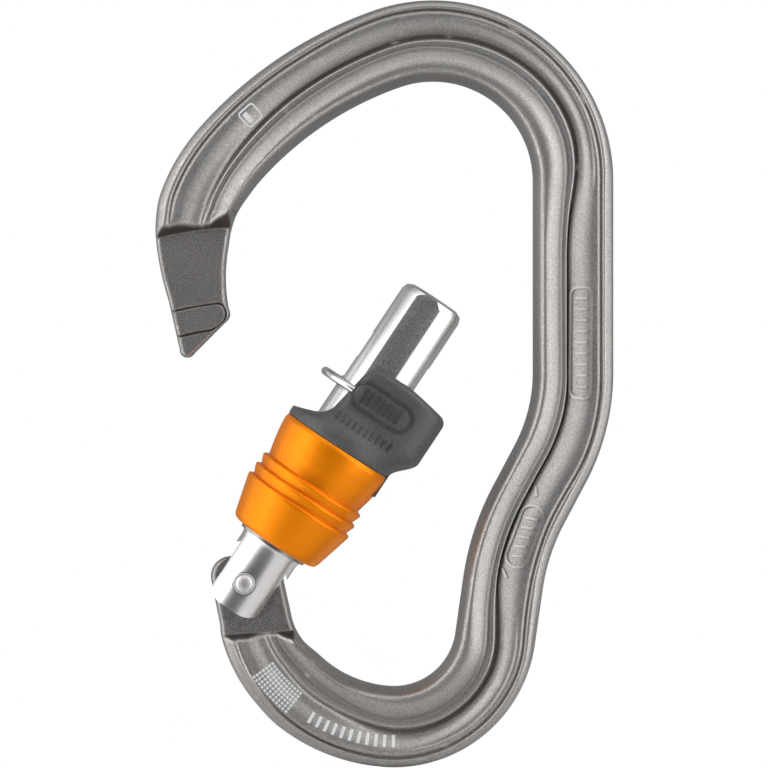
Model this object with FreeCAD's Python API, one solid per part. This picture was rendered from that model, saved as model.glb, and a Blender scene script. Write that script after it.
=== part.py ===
import FreeCAD, Part
import math
import os

V = FreeCAD.Vector
os.makedirs("parts", exist_ok=True)

# Locking carabiner, millimetres.  +Z up the body, +X from the gate side to the spine, the body's
# middle plane is Y = 0.  The origin is the inner top of the upper bend, where a sling bears.

# ---- driving dimensions: bar -------------------------------------------------------------------
bar_width = 13.4          # across the bar, in the plane of the body
bulb_half = 5.1           # half thickness of the inner, load-bearing bulb
flange_half = 4.2         # half thickness of the outer flange
web_half = 2.9            # half thickness of the web between them
# Centreline runs from the top point: (radius, turn in degrees), or (length, 0) for a straight.
runs_to_nose = [(23.3, 19.2), (62.3, 28.8), (30.7, 11.3), (20.8, 31.6)]
runs_to_hinge = [(23.3, -90.0), (31.9, 0), (32.4, -27.9), (7.8, 0), (40.0, 19.8), (9.3, 0),
                 (17.0, -85.9), (25.5, -64.0)]

# ---- driving dimensions: hinge and gate --------------------------------------------------------
pivot = V(-31.2, 0, -83.3)
hinge_offset = 0.3        # the hinge pin sits this far outside the gate's axis
gate_open_angle = 33.5    # the open gate leans this far towards the spine
gate_radius = 5.9
gate_length = 56.7        # pivot to tip
neck_radius = 5.3
foot_depth = 4.85         # the gate's rounded lower end, below the pivot
foot_corner = 3.6
lug_half = 2.4            # half thickness of the milled hinge lug
fork_half = 2.6           # half width of the slot in the gate that straddles the lug
fork_root = 6.9           # depth of that slot, from the pivot
rivet_radius = 1.5
rivet_clearance = 0.05
head_radius = 1.88
head_height = 0.75
spot_at = 4.9             # the rivet heads sit on spot faces this far from the middle plane

# ---- driving dimensions: nose ------------------------------------------------------------------
nose_half = 1.75          # half thickness of the milled nose plate
key_half = 2.35           # half thickness of the key band across it
key_inner = 42.3          # the key band lies between these two radii about the hinge
key_outer = 46.4
shoulder_radius = 58.8    # where the full bar section starts again
slot_gap = 0.3            # play of the nose in the gate
slot_floor = 38.0         # radius about the hinge at which the slot starts
slot_back = 1.4           # how far the slot reaches behind the gate's axis
slot_back_top = 41.5      # above this the slot goes right through

# ---- driving dimensions: locking sleeve, all along the gate from the pivot ----------------------
sleeve_bottom = 8.1
sleeve_top = 27.4
collar_top = 10.1         # the sleeve's bore is narrow below this
slide_radius = 5.95       # bore of the parts that slide on the barrel
sleeve_bore = 8.2
plug_bore = 7.4           # inside of the cap's plug, round the sleeve spring
cap_top = 42.0
tall_half = 7.9           # half thickness of the cap's tall thumb piece
tall_face = 12.9          # its face on the inner side
tall_corner = 5.0
rim_top = 29.5
recess_top = 27.9         # the spring pushes on the cap here
stop_ring_at = 7.5
clip_at = 18.2
washer_at = 18.9
spring_foot = 19.3
wire_at = 36.6
wire_radius = 0.7
wire_bend = 6.8
wire_bend_centre = -1.8
pin_at = 36.6
bore_radius = 2.0         # blind bore for the gate's own spring and plunger
bore_top = 30.0
plunger_radius = 1.9
plunger_tip = 6.2


def save(node, shape):
    print(node, "valid", shape.isValid(), "solids", len(shape.Solids), "volume", round(shape.Volume, 1))
    shape.exportStep("parts/" + node + ".step")


def on_gate(shape):
    # Gate pieces are drawn upright on the gate's axis and then leaned over the hinge.
    placed = shape.copy()
    placed.translate(V(hinge_offset, 0, 0))
    placed.rotate(V(0, 0, 0), V(0, 1, 0), gate_open_angle)
    placed.translate(pivot)
    return placed


def ring(outer, inner, low, high):
    return Part.makeCylinder(outer, high - low, V(0, 0, low)).cut(
        Part.makeCylinder(inner, high - low + 2, V(0, 0, low - 1)))


def turned(points):
    # A solid of revolution about the gate's axis from (radius, height) points.
    outline = Part.makePolygon([V(r, 0, z) for r, z in points + points[:1]])
    return Part.Face(outline).revolve(V(0, 0, 0), V(0, 0, 1), 360)


def plate(edges, half):
    face = Part.Face(Part.Wire(edges))
    face.translate(V(0, -half, 0))
    return face.extrude(V(0, 2 * half, 0))


def flat_polygon(points, half):
    closed = [V(x, 0, z) for x, z in points + points[:1]]
    return plate(Part.makePolygon(closed).Edges, half)


def coil(radius, wire, low, high, turns):
    span = high - low - 2 * wire
    helix = Part.makeHelix(span / turns, span, radius)
    helix.translate(V(0, 0, low + wire))
    section = Part.Wire(Part.makeCircle(wire, V(radius, 0, low + wire), V(0, 1, 0)))
    return Part.Wire(helix.Edges).makePipeShell([section], True, True)


# ---- frame -------------------------------------------------------------------------------------
def walk(start, heading, runs):
    # Follows tangent arcs and straights in the plane Y = 0; returns the points of each run.
    pieces = []
    here = start
    for size, turn in runs:
        ahead = V(math.cos(heading), 0, math.sin(heading))
        if turn == 0:
            end = here + ahead * size
            pieces.append((here, None, end))
        else:
            side = math.copysign(1, turn)
            left = V(-math.sin(heading), 0, math.cos(heading)) * side
            centre = here + left * size
            swing = math.radians(abs(turn))

            def on_arc(angle):
                return centre - left * (size * math.cos(angle)) + ahead * (size * math.sin(angle))

            middle = on_arc(swing / 2)
            end = on_arc(swing)
            pieces.append((here, middle, end))
            heading += side * swing
        here = end
    return pieces, heading


def run_edge(start, middle, end):
    if middle is None:
        return Part.makeLine(start, end)
    return Part.Arc(start, middle, end).toShape()


def bar_section():
    # (outward, half thickness) of the bar: outer flange, web, ridge and inner bulb.
    half = bar_width / 2
    upper = [
        Part.makeLine(V(half, 0, -1.6), V(half, 0, 1.6)),
        Part.Arc(V(half, 0, 1.6), V(half - 0.55, 0, flange_half - 0.8), V(half - 1.7, 0, flange_half)).toShape(),
        Part.makeLine(V(half - 1.7, 0, flange_half), V(half - 2.5, 0, web_half)),
        Part.makeLine(V(half - 2.5, 0, web_half), V(-0.9, 0, web_half)),
        Part.makeLine(V(-0.9, 0, web_half), V(-1.8, 0, bulb_half - 0.9)),
        Part.Arc(V(-1.8, 0, bulb_half - 0.9), V(-3.4, 0, bulb_half), V(-5.3, 0, bulb_half - 1.1)).toShape(),
        Part.Arc(V(-5.3, 0, bulb_half - 1.1), V(-half + 0.45, 0, 2.6), V(-half, 0, 1.0)).toShape(),
        Part.makeLine(V(-half, 0, 1.0), V(-half, 0, -1.0)),
    ]
    lower = []
    for edge in upper[1:-1]:
        flipped = edge.mirror(V(0, 0, 0), V(0, 0, 1))
        lower.append(flipped)
    return Part.Wire(Part.__sortEdges__(upper + lower))


def make_bar():
    top = V(0, 0, bar_width / 2)
    to_nose, nose_heading = walk(top, math.pi, runs_to_nose)
    to_hinge, hinge_heading = walk(top, 0, runs_to_hinge)
    edges = [run_edge(end, middle, start) for start, middle, end in reversed(to_nose)]
    edges += [run_edge(start, middle, end) for start, middle, end in to_hinge]
    spine = Part.Wire(edges)
    # The section is drawn with outward along X and thickness along Z, and is stood across the path.
    section = bar_section()
    section.rotate(V(0, 0, 0), V(1, 0, 0), -90)
    # outward now lies along X and thickness along Y; travel at the nose end is +Z, outward is -X
    section.rotate(V(0, 0, 0), V(0, 0, 1), 180)
    travel = nose_heading - math.pi
    section.rotate(V(0, 0, 0), V(0, 1, 0), math.degrees(math.pi / 2 - travel))
    section.translate(to_nose[-1][2])
    shell = Part.BRepOffsetAPI.MakePipeShell(spine)
    shell.setBiNormalMode(V(0, 1, 0))
    shell.add(section)
    shell.build()
    shell.makeSolid()
    return shell.shape()


def nose_outline():
    # Measured from the hinge: down the outer side, round the tip and up the inner side.
    return [
        Part.Arc(V(-14.2, 0, 64.9), V(-15.0, 0, 57.9), V(-14.6, 0, 54.0)).toShape(),
        Part.Arc(V(-14.6, 0, 54.0), V(-14.0, 0, 50.9), V(-12.9, 0, 46.9)).toShape(),
        Part.makeLine(V(-12.9, 0, 46.9), V(-11.0, 0, 38.6)),
        Part.Arc(V(-11.0, 0, 38.6), V(-10.0, 0, 37.3), V(-8.6, 0, 37.9)).toShape(),
        Part.makeLine(V(-8.6, 0, 37.9), V(-3.3, 0, 43.2)),
        Part.Arc(V(-3.3, 0, 43.2), V(-2.6, 0, 44.3), V(-2.8, 0, 45.4)).toShape(),
        Part.Arc(V(-2.8, 0, 45.4), V(-3.3, 0, 50.9), V(-2.8, 0, 56.0)).toShape(),
        Part.Arc(V(-2.8, 0, 56.0), V(-2.1, 0, 59.6), V(-0.7, 0, 62.9)).toShape(),
        Part.makeLine(V(-0.7, 0, 62.9), V(-14.2, 0, 64.9)),
    ]


def nose_trims():
    # What lies beyond the nose's two sides, where the bar narrows towards the tip.
    outer = [
        Part.Arc(V(-14.2, 0, 64.9), V(-15.0, 0, 57.9), V(-14.6, 0, 54.0)).toShape(),
        Part.makeLine(V(-14.6, 0, 54.0), V(-22, 0, 54.0)),
        Part.makeLine(V(-22, 0, 54.0), V(-22, 0, 64.9)),
        Part.makeLine(V(-22, 0, 64.9), V(-14.2, 0, 64.9)),
    ]
    inner = [
        Part.Arc(V(-2.8, 0, 56.0), V(-2.1, 0, 59.6), V(-0.7, 0, 62.9)).toShape(),
        Part.makeLine(V(-0.7, 0, 62.9), V(6, 0, 58.0)),
        Part.makeLine(V(6, 0, 58.0), V(6, 0, 50.0)),
        Part.makeLine(V(6, 0, 50.0), V(-2.8, 0, 50.0)),
        Part.makeLine(V(-2.8, 0, 50.0), V(-2.8, 0, 56.0)),
    ]
    return [plate(outer, 12), plate(inner, 12)]


def heel_trim():
    # The bar also narrows on its outer side where it comes up to the hinge.
    edges = [
        Part.Arc(V(3.5, 0, -22.1), V(-1.7, 0, -15.2), V(-4.2, 0, -8.5)).toShape(),
        Part.makeLine(V(-4.2, 0, -8.5), V(-14, 0, -8.5)),
        Part.makeLine(V(-14, 0, -8.5), V(-14, 0, -22.1)),
        Part.makeLine(V(-14, 0, -22.1), V(3.5, 0, -22.1)),
    ]
    return plate(edges, 12)


def lug_outline():
    # Measured from the hinge: a cam over the top for the plunger, and the bar's two sides below.
    return [
        Part.makeLine(V(-2.6, 0, -13.5), V(-4.3, 0, -7.1)),
        Part.makeLine(V(-4.3, 0, -7.1), V(-5.7, 0, 0.0)),
        Part.Arc(V(-5.7, 0, 0.0), V(-5.1, 0, 3.0), V(-2.4, 0, 4.2)).toShape(),
        Part.makeLine(V(-2.4, 0, 4.2), V(0.0, 0, 4.8)),
        Part.makeLine(V(0.0, 0, 4.8), V(3.0, 0, 5.1)),
        Part.Arc(V(3.0, 0, 5.1), V(5.4, 0, 3.2), V(6.3, 0, 0.2)).toShape(),
        Part.makeLine(V(6.3, 0, 0.2), V(7.5, 0, -5.1)),
        Part.Arc(V(7.5, 0, -5.1), V(8.5, 0, -8.2), V(10.7, 0, -11.1)).toShape(),
        Part.makeLine(V(10.7, 0, -11.1), V(4.0, 0, -15.0)),
        Part.makeLine(V(4.0, 0, -15.0), V(-2.6, 0, -13.5)),
    ]


def make_frame():
    bar = make_bar()
    # The nose and the hinge end are milled flat on both sides of the bar.
    reach = 12.0
    mill = Part.makePolygon([V(35, nose_half, 0), V(shoulder_radius, nose_half, 0),
                             V(shoulder_radius + 3.6, nose_half + 3.6, 0), V(shoulder_radius + 3.6, reach, 0),
                             V(35, reach, 0), V(35, nose_half, 0)])
    # drawn as (radius, thickness); stood up so that radius runs along Z from the hinge
    mill = Part.Face(mill)
    mill.rotate(V(0, 0, 0), V(0, 1, 0), -90)
    mill.rotate(V(0, 0, 0), V(0, 1, 0), -30)
    front_mill = mill.revolve(V(0, 0, 0), V(0, 1, 0), 45)
    back_mill = front_mill.mirror(V(0, 0, 0), V(0, 1, 0))
    pocket = flat_polygon([(-12, -9.1), (6.8, -8.0), (14, -7.5), (14, 14), (-12, 14)], reach)
    pocket = pocket.cut(Part.makeBox(40, 2 * lug_half, 40, V(-20, -lug_half, -20)))
    nose = plate(nose_outline(), nose_half)
    key = Part.makeCylinder(key_outer, 2 * key_half, V(0, -key_half, 0), V(0, 1, 0))
    key = key.cut(Part.makeCylinder(key_inner, 2 * key_half, V(0, -key_half, 0), V(0, 1, 0)))
    key = key.common(plate(nose_outline(), key_half))
    lug = plate(lug_outline(), lug_half)
    lug_hole = Part.makeCylinder(rivet_radius + rivet_clearance, 20, V(0, -10, 0), V(0, 1, 0))
    trims = nose_trims() + [heel_trim(), front_mill, back_mill, pocket]
    for piece in trims + [nose, key, lug, lug_hole]:
        piece.translate(pivot)
    frame = bar.cut(trims)
    frame = frame.fuse([nose, key, lug]).cut(lug_hole)
    return frame.removeSplitter()


# ---- gate --------------------------------------------------------------------------------------
def hinge_rod(radius, half):
    # A cylinder along the hinge pin, in the gate's own place.
    return Part.makeCylinder(radius, 2 * half, V(-hinge_offset, -half, 0), V(0, 1, 0))


def make_foot():
    low = -foot_depth
    side = neck_radius
    bend = foot_corner * (1 - math.sqrt(0.5))
    outline = [
        Part.makeLine(V(-side, 0, 1), V(-side, 0, low + foot_corner)),
        Part.Arc(V(-side, 0, low + foot_corner), V(bend - side, 0, low + bend),
                 V(foot_corner - side, 0, low)).toShape(),
        Part.makeLine(V(foot_corner - side, 0, low), V(side - foot_corner, 0, low)),
        Part.Arc(V(side - foot_corner, 0, low), V(side - bend, 0, low + bend),
                 V(side, 0, low + foot_corner)).toShape(),
        Part.makeLine(V(side, 0, low + foot_corner), V(side, 0, 1)),
        Part.makeLine(V(side, 0, 1), V(-side, 0, 1)),
    ]
    return plate(outline, neck_radius).common(Part.makeCylinder(neck_radius, 12, V(0, 0, -6)))


def make_gate_body():
    barrel = turned([(0, 0), (neck_radius, 0), (neck_radius, 7.0), (neck_radius + 0.3, stop_ring_at),
                     (gate_radius, stop_ring_at + 0.5),
                     (gate_radius, gate_length - 1.4), (gate_radius - 0.4, gate_length - 0.4),
                     (gate_radius - 1.4, gate_length), (0, gate_length)])
    body = barrel.fuse(make_foot())
    fork = hinge_rod(fork_root, fork_half)
    # The nose's slot: a wide channel for the key between two narrow ones, all round the hinge.
    narrow = hinge_rod(80, nose_half + slot_gap / 2).cut(hinge_rod(slot_floor, 10))
    wide = hinge_rod(key_outer + slot_gap, key_half + slot_gap / 2).cut(hinge_rod(key_inner - slot_gap, 10))
    to_back = Part.makeBox(20 + slot_back, 20, 60, V(-20, -10, 0))
    through = Part.makeBox(40, 20, 20, V(-20, -10, slot_back_top))
    slot = narrow.fuse(wide).common(to_back.fuse(through))
    bore = Part.makeCylinder(bore_radius, bore_top - 4, V(0, 0, 4))
    rivet_hole = hinge_rod(rivet_radius, 10)
    spot_face = hinge_rod(head_radius + 0.1, 10)
    spot_face = spot_face.cut(Part.makeBox(20, 2 * spot_at, 20, V(-10, -spot_at, -10)))
    stop_groove = ring(8, 5.0, stop_ring_at, stop_ring_at + 0.5)
    clip_groove = ring(8, 5.2, clip_at, clip_at + 0.7)
    return body.cut([fork, slot, bore, rivet_hole, spot_face, stop_groove, clip_groove, make_guide_pin()])


def make_rivet():
    shank = hinge_rod(rivet_radius, spot_at)
    heads = []
    for side in (-1, 1):
        # a shallow dome: the cap of a ball cut off at the spot face
        ball = (head_radius ** 2 + head_height ** 2) / (2 * head_height)
        dome = Part.makeSphere(ball, V(-hinge_offset, side * (spot_at + head_height - ball), 0))
        corner = V(-10, spot_at, -10) if side > 0 else V(-10, -spot_at - 20, -10)
        heads.append(dome.common(Part.makeBox(20, 20, 20, corner)))
    return shank.fuse(heads)


def make_plunger():
    tip = Part.makeSphere(plunger_radius, V(0, 0, plunger_tip + plunger_radius))
    body = Part.makeCylinder(plunger_radius, 4.9, V(0, 0, plunger_tip + plunger_radius))
    stem = Part.makeCylinder(0.9, 5.0, V(0, 0, 13.0))
    return tip.fuse([body, stem])


def split_ring(outer, inner, low, high, gap):
    return ring(outer, inner, low, high).cut(Part.makeBox(10, gap, 10, V(-12, -gap / 2, low - 4)))


def make_guide_pin():
    return Part.makeCylinder(0.8, 4.9, V(2.4, 0, pin_at), V(1, 0, 0))


# ---- sleeve group ------------------------------------------------------------------------------
def make_sleeve():
    shell = turned([(slide_radius, sleeve_bottom), (7.3, sleeve_bottom), (7.9, 8.35), (8.25, 9.0),
                    (9.9, 15.3), (9.9, 15.7), (9.2, 15.9), (9.8, 17.4), (9.7, 17.75), (9.05, 17.9),
                    (9.65, 19.4), (9.55, 19.7), (8.8, 19.95), (9.45, 22.6), (9.85, 25.0), (10.0, 26.6),
                    (9.8, sleeve_top), (sleeve_bore, sleeve_top), (sleeve_bore, collar_top),
                    (slide_radius, collar_top)])
    notch = Part.makeBox(6, 5.0, 6, V(sleeve_bore - 1, -2.5, 23.5))
    return shell.cut(notch)


def make_wire():
    front = [V(3.0, -wire_bend, wire_at), V(wire_bend_centre, -wire_bend, wire_at)]
    back = [V(wire_bend_centre, wire_bend, wire_at), V(3.0, wire_bend, wire_at)]
    outermost = V(wire_bend_centre - wire_bend, 0, wire_at)
    path = Part.Wire([Part.makeLine(front[0], front[1]), Part.Arc(front[1], outermost, back[0]).toShape(),
                      Part.makeLine(back[0], back[1])])
    section = Part.Wire(Part.makeCircle(wire_radius, front[0], V(1, 0, 0)))
    return path.makePipeShell([section], True, False)


def make_cap():
    rim = turned([(plug_bore, sleeve_top), (9.6, sleeve_top), (9.9, sleeve_top + 0.4),
                  (9.9, rim_top - 0.6), (9.3, rim_top), (3.0, rim_top), (3.0, recess_top),
                  (plug_bore, recess_top)])
    plug = ring(sleeve_bore, plug_bore, 24.6, sleeve_top)
    # The tall thumb piece: a side outline crossed with a rounded plan.
    side = flat_polygon([(-4.4, 28.0), (-4.4, 30.4), (-2.8, 40.0), (-2.0, 41.4), (-0.4, cap_top), (5.4, cap_top),
                         (10.4, 41.3), (12.1, 40.8), (12.9, 39.4), (12.9, 33.1), (10.4, 28.7), (9.0, 28.0)], 12)
    rounded = Part.makeBox(tall_face - tall_corner + 5, 2 * tall_half, 30, V(-5, -tall_half, 20))
    rounded = rounded.fuse(Part.makeBox(tall_face + 5, 2 * (tall_half - tall_corner), 30,
                                        V(-5, tall_corner - tall_half, 20)))
    for sign in (-1, 1):
        place = V(tall_face - tall_corner, sign * (tall_half - tall_corner), 20)
        rounded = rounded.fuse(Part.makeCylinder(tall_corner, 30, place))
    tall = side.common(rounded)
    tongue = Part.makeBox(1.7, 4.9, sleeve_top - 23.6, V(sleeve_bore, -2.45, 23.6))
    cap = rim.fuse([plug, tall, tongue])
    slide = Part.makeCylinder(slide_radius, 40, V(0, 0, 20))
    keyway = Part.makeBox(7.5, 1.8, 20, V(0, -0.9, recess_top - 0.5))
    cap = cap.cut([slide, keyway, make_wire()])
    return cap.removeSplitter()


save("frame", make_frame())
save("gate_body", on_gate(make_gate_body()))
save("gate_rivet", on_gate(make_rivet()))
save("gate_plunger", on_gate(make_plunger()))
save("gate_spring", on_gate(coil(1.6, 0.25, 13.0, bore_top, 14)))
save("stop_ring", on_gate(split_ring(6.15, 5.0, stop_ring_at, stop_ring_at + 0.5, 2.0)))
save("retaining_ring", on_gate(split_ring(7.0, 5.2, clip_at, clip_at + 0.7, 2.5)))
save("spring_washer", on_gate(ring(7.9, slide_radius, washer_at, spring_foot)))
save("guide_pin", on_gate(make_guide_pin()))
save("sleeve_spring", on_gate(coil(6.7, 0.45, spring_foot, recess_top, 5.5)))
save("locking_sleeve", on_gate(make_sleeve()))
save("sleeve_cap", on_gate(make_cap()))
save("wire_latch", on_gate(make_wire()))
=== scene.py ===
import math

import bmesh
import bpy
import numpy as np
from mathutils import Matrix, Vector


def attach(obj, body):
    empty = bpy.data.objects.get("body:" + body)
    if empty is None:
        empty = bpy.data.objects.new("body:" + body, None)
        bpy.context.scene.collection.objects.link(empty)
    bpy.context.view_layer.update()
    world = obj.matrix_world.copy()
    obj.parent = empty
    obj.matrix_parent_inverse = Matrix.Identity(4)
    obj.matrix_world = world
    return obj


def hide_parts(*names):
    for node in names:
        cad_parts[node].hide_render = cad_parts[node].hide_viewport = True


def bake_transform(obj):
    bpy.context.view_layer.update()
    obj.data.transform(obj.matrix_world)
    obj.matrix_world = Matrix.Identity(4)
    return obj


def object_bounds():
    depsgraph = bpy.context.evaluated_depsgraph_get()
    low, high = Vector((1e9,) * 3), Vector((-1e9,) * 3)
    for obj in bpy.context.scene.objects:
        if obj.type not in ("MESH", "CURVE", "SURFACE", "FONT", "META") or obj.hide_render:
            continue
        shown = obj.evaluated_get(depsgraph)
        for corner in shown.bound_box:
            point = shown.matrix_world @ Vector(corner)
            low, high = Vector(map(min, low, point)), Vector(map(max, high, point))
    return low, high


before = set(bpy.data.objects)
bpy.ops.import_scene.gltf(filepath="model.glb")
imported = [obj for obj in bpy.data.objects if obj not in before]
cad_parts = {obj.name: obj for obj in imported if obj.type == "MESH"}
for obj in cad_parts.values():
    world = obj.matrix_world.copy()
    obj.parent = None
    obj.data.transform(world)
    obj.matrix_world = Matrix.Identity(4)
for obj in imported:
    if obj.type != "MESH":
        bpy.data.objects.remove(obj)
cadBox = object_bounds()
mm = 0.001
turn = 2 * math.pi
mergeGap = 1e-4  # points closer than this, in mm, are made one

# where the gate turns, in mm, and how far it stands open
hinge = {"x": -31.2, "z": -83.3, "offset": 0.3, "openAngle": 33.5}
pivot = np.array([hinge["x"], hinge["z"]])


def onGate():
    lean = Matrix.Rotation(math.radians(hinge["openAngle"]), 4, "Y")
    return Matrix.Translation((hinge["x"], 0, hinge["z"])) @ lean @ Matrix.Translation((hinge["offset"], 0, 0))


def softMin(a, b, blend):
    near = np.maximum(blend - np.abs(a - b), 0) / blend
    return np.minimum(a, b) - near * near * blend / 4


def softRamp(x, blend):
    return blend * np.logaddexp(0, x / blend)


def softStep(x, low, high):
    t = np.clip((x - low) / (high - low), 0, 1)
    return t * t * (3 - 2 * t)


def closeUp(bm):
    bmesh.ops.remove_doubles(bm, verts=bm.verts[:], dist=mergeGap)
    bmesh.ops.recalc_face_normals(bm, faces=bm.faces[:])


def plainObject(name, bm):
    mesh = bpy.data.meshes.new(name)
    bm.to_mesh(mesh)
    bm.free()
    made = bpy.data.objects.new(name, mesh)
    bpy.context.scene.collection.objects.link(made)
    return made


def combine(bm, tool, operation="DIFFERENCE"):
    # joins, cuts or crosses two closed shapes and gives back the result
    for each in (bm, tool):
        closeUp(each)
    first, second = plainObject("first", bm), plainObject("second", tool)
    step = first.modifiers.new("combine", "BOOLEAN")
    step.object, step.operation, step.solver = second, operation, "EXACT"
    mesh = bpy.data.meshes.new_from_object(first.evaluated_get(bpy.context.evaluated_depsgraph_get()))
    result = bmesh.new()
    result.from_mesh(mesh)
    for made in (first, second):
        bpy.data.objects.remove(made)
    return result


def roundEdges(bm, width, segments, limit):
    # rounds the sharp edges of a closed shape by a live modifier that is then made part of the mesh
    closeUp(bm)
    made = plainObject("rounding", bm)
    step = made.modifiers.new("rounding", "BEVEL")
    step.width, step.segments, step.limit_method = width, segments, "ANGLE"
    step.angle_limit, step.use_clamp_overlap, step.harden_normals = math.radians(limit), True, False
    mesh = bpy.data.meshes.new_from_object(made.evaluated_get(bpy.context.evaluated_depsgraph_get()))
    result = bmesh.new()
    result.from_mesh(mesh)
    bpy.data.objects.remove(made)
    return result


def finishPiece(name, bm, body, finish, nodes=(), place=None, sharpAngle=38, blend=None):
    closeUp(bm)
    if place is not None:
        bmesh.ops.transform(bm, matrix=place, verts=bm.verts[:])
    bmesh.ops.scale(bm, vec=(mm, mm, mm), verts=bm.verts[:])
    limit = math.radians(sharpAngle)
    for face in bm.faces:
        face.smooth = True
    for edge in bm.edges:
        edge.smooth = len(edge.link_faces) == 2 and edge.calc_face_angle(0) < limit
    piece = plainObject(name, bm)
    for one in finish if isinstance(finish, list) else [finish]:
        piece.data.materials.append(one)
    if blend is None:
        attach(piece, body)
    else:
        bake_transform(piece)
    if nodes:
        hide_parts(*nodes)
    print("made", name, "with", len(piece.data.polygons), "faces")
    return piece


def turned(profile, rounding=0.0, steps=96, segments=3):
    # a closed outline of (radius, height) spun round the gate's axis
    bm = bmesh.new()
    corners = [bm.verts.new((r, 0, a)) for r, a in profile]
    for first, second in zip(corners, corners[1:] + corners[:1]):
        bm.edges.new((first, second))
    if rounding:
        off = [v for v in bm.verts if v.co.x > 1e-6]
        bmesh.ops.bevel(bm, geom=off, affect="VERTICES", offset=rounding, segments=segments, profile=0.5,
                        material=-1, clamp_overlap=True)
    bmesh.ops.spin(bm, geom=bm.verts[:] + bm.edges[:], cent=(0, 0, 0), axis=(0, 0, 1), angle=turn, steps=steps,
                   use_merge=True)
    closeUp(bm)
    return bm


def vertsOf(geometry):
    return [each for each in geometry if isinstance(each, bmesh.types.BMVert)]


def edgesOf(geometry):
    return [each for each in geometry if isinstance(each, bmesh.types.BMEdge)]


def fillHoles(bm):
    bmesh.ops.holes_fill(bm, edges=[e for e in bm.edges if e.is_boundary], sides=0)


def slab(outline, half):
    # a flat outline of (x, z) made into a plate of that half thickness
    bm = bmesh.new()
    face = bm.faces.new([bm.verts.new((x, -half, z)) for x, z in outline])
    pushed = bmesh.ops.extrude_face_region(bm, geom=[face])
    bmesh.ops.translate(bm, vec=(0, 2 * half, 0), verts=vertsOf(pushed["geom"]))
    closeUp(bm)
    return bm


def block(low, high):
    bm = bmesh.new()
    low, high = Vector(low), Vector(high)
    bmesh.ops.create_cube(bm, size=1)
    bmesh.ops.scale(bm, vec=high - low, verts=bm.verts[:])
    bmesh.ops.translate(bm, vec=(low + high) / 2, verts=bm.verts[:])
    return bm


def rod(radius, start, end, segments=64):
    start, end = Vector(start), Vector(end)
    bm = bmesh.new()
    way = (end - start).to_track_quat("Z", "Y").to_matrix().to_4x4()
    bmesh.ops.create_cone(bm, cap_ends=True, segments=segments, radius1=radius, radius2=radius,
                          depth=(end - start).length, matrix=Matrix.Translation((start + end) / 2) @ way)
    return bm


# finishes
wearSpan = (0.52, 0.62)  # pointiness from which an edge is rubbed, and where it is bare
creaseSpan = (0.5, 0.44)  # pointiness from which a hollow gets painted shade, and where that painted shade is darkest
noiseSpan = (0.3, 0.7)  # the part of the noise that is spread over a look's range
bumpDepth = 0.00002
coatRough = 0.3
facingSpan = (0.45, 0.8)  # how squarely a step faces one of its directions, from none to all of its painted shade


def makeGroup(name, inputs, outputs):
    group = bpy.data.node_groups.new(name, "ShaderNodeTree")
    for label, value in inputs.items():
        socket = group.interface.new_socket(label, in_out="INPUT", socket_type="NodeSocketFloat")
        socket.default_value = value
    for label in outputs:
        group.interface.new_socket(label, in_out="OUTPUT", socket_type="NodeSocketFloat")
    return group, group.nodes.new("NodeGroupInput"), group.nodes.new("NodeGroupOutput")


def wire(tree, source, target):
    tree.links.new(source, target)


def spread(tree, value, fromSpan, toSpan=(0.0, 1.0)):
    # maps one span of values to another
    ramp = tree.nodes.new("ShaderNodeMapRange")
    ramp.inputs["From Min"].default_value, ramp.inputs["From Max"].default_value = fromSpan
    ramp.inputs["To Min"].default_value, ramp.inputs["To Max"].default_value = toSpan
    wire(tree, value, ramp.inputs["Value"])
    return ramp


def reckon(tree, operation, first, second):
    # combines two values, the second of which may be a plain number
    node = tree.nodes.new("ShaderNodeMath")
    node.operation = operation
    wire(tree, first, node.inputs[0])
    if isinstance(second, float):
        node.inputs[1].default_value = second
    else:
        wire(tree, second, node.inputs[1])
    return node.outputs[0]


def grainGroup():
    # fine tumbled or blasted grain, with a slower cloud over it
    group, given, out = makeGroup("surfaceGrain", {"Grain Scale": 5200.0, "Cloud Scale": 90.0}, ["Grain", "Cloud"])
    place = group.nodes.new("ShaderNodeTexCoord")
    for label, detail in (("Grain", 2.0), ("Cloud", 4.0)):
        noise = group.nodes.new("ShaderNodeTexNoise")
        noise.inputs["Detail"].default_value = detail
        wire(group, place.outputs["Object"], noise.inputs["Vector"])
        wire(group, given.outputs[label + " Scale"], noise.inputs["Scale"])
        wire(group, noise.outputs["Fac"], out.inputs[label])
    return group


def wearAndShadeGroup():
    # bare, rubbed edges where the surface is convex, broken up by noise, and painted shade in hollows where it is
    # concave
    group, given, out = makeGroup("edgeWearAndHollowShade", {"Low": wearSpan[0], "High": wearSpan[1], "Breakup": 400.0},
                                  ["Wear", "HollowShade"])
    place = group.nodes.new("ShaderNodeTexCoord")
    shape = group.nodes.new("ShaderNodeNewGeometry")
    noise = group.nodes.new("ShaderNodeTexNoise")
    wire(group, place.outputs["Object"], noise.inputs["Vector"])
    wire(group, given.outputs["Breakup"], noise.inputs["Scale"])
    edge = group.nodes.new("ShaderNodeMapRange")
    wire(group, shape.outputs["Pointiness"], edge.inputs["Value"])
    wire(group, given.outputs["Low"], edge.inputs["From Min"])
    wire(group, given.outputs["High"], edge.inputs["From Max"])
    broken = reckon(group, "MULTIPLY", edge.outputs["Result"], noise.outputs["Fac"])
    wire(group, broken, out.inputs["Wear"])
    creaseShade = spread(group, shape.outputs["Pointiness"], creaseSpan)
    wire(group, creaseShade.outputs["Result"], out.inputs["HollowShade"])
    return group


surfaceGrain = grainGroup()
edgeWearAndHollowShade = wearAndShadeGroup()


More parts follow.
